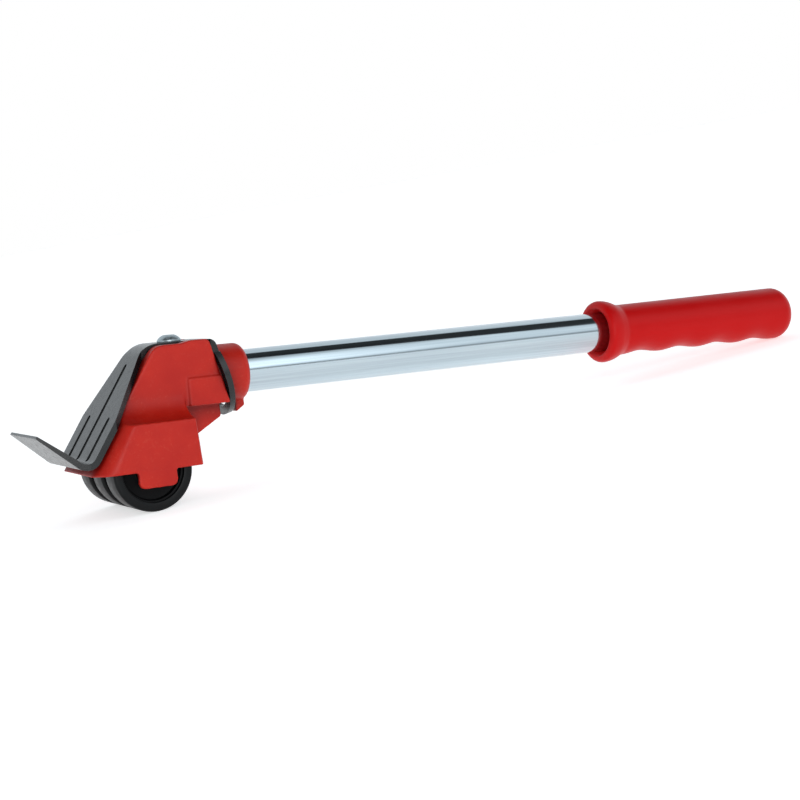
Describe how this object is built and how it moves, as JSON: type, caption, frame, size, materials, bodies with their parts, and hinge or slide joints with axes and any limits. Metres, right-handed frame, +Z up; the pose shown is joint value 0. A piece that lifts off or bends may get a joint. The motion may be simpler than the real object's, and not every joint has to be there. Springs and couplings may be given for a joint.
{
  "type": "furniture lifter",
  "caption": "Hand lever for lifting the edge of heavy furniture: sloped claw plate with a thin lip, moulded head on a row of wheels, tube handle and finger grip.",
  "frame": {"origin": "on the floor that the tool lies on, below the middle of its bounding box", "axes": "+X along the handle from the lip towards the end of the grip, +Y along the axle, from the closed cheek to the far cheek, +Z up"},
  "size_m": [0.469, 0.0624, 0.0806],
  "materials": {
    "blackened_steel": "satin black coating",
    "head_plastic": "fine moulded grain",
    "grip_plastic": "smooth, half gloss",
    "plated_tube": "bright plating",
    "zinc_steel": "zinc plated",
    "wheel_plastic": "moulded, matt",
    "wheel_rubber": "matt tread",
    "sleeve_plastic": "natural, matt"
  },
  "bodies": {
    "lever": {"lift_plate": "blackened_steel", "housing": "head_plastic", "clamp_bolt": "zinc_steel", "clamp_washer": "zinc_steel", "spring_washer": "zinc_steel", "clamp_nut": "zinc_steel", "handle_tube": "plated_tube", "bolt_sleeve": "sleeve_plastic", "grip": "grip_plastic", "axle": "zinc_steel", "spacer_near": "wheel_plastic", "spacer_far": "wheel_plastic", "thrust_washer_near": "zinc_steel", "thrust_washer_far": "zinc_steel"},
    "wheel_near": {"wheel_core_near": "wheel_plastic", "tyre_near": "wheel_rubber"},
    "wheel_middle": {"wheel_core_middle": "wheel_plastic", "tyre_middle": "wheel_rubber"},
    "wheel_far": {"wheel_core_far": "wheel_plastic", "tyre_far": "wheel_rubber"}
  },
  "joints": [
    {"name": "wheel_near_spin", "type": "hinge", "parent": "lever", "child": "wheel_near", "pos_m": [-0.18284, -0.0203, 0.02], "axis": [0, 1, 0], "continuous": true},
    {"name": "wheel_middle_spin", "type": "hinge", "parent": "lever", "child": "wheel_middle", "pos_m": [-0.18284, 0, 0.02], "axis": [0, 1, 0], "continuous": true},
    {"name": "wheel_far_spin", "type": "hinge", "parent": "lever", "child": "wheel_far", "pos_m": [-0.18284, 0.0203, 0.02], "axis": [0, 1, 0], "continuous": true}
  ]
}
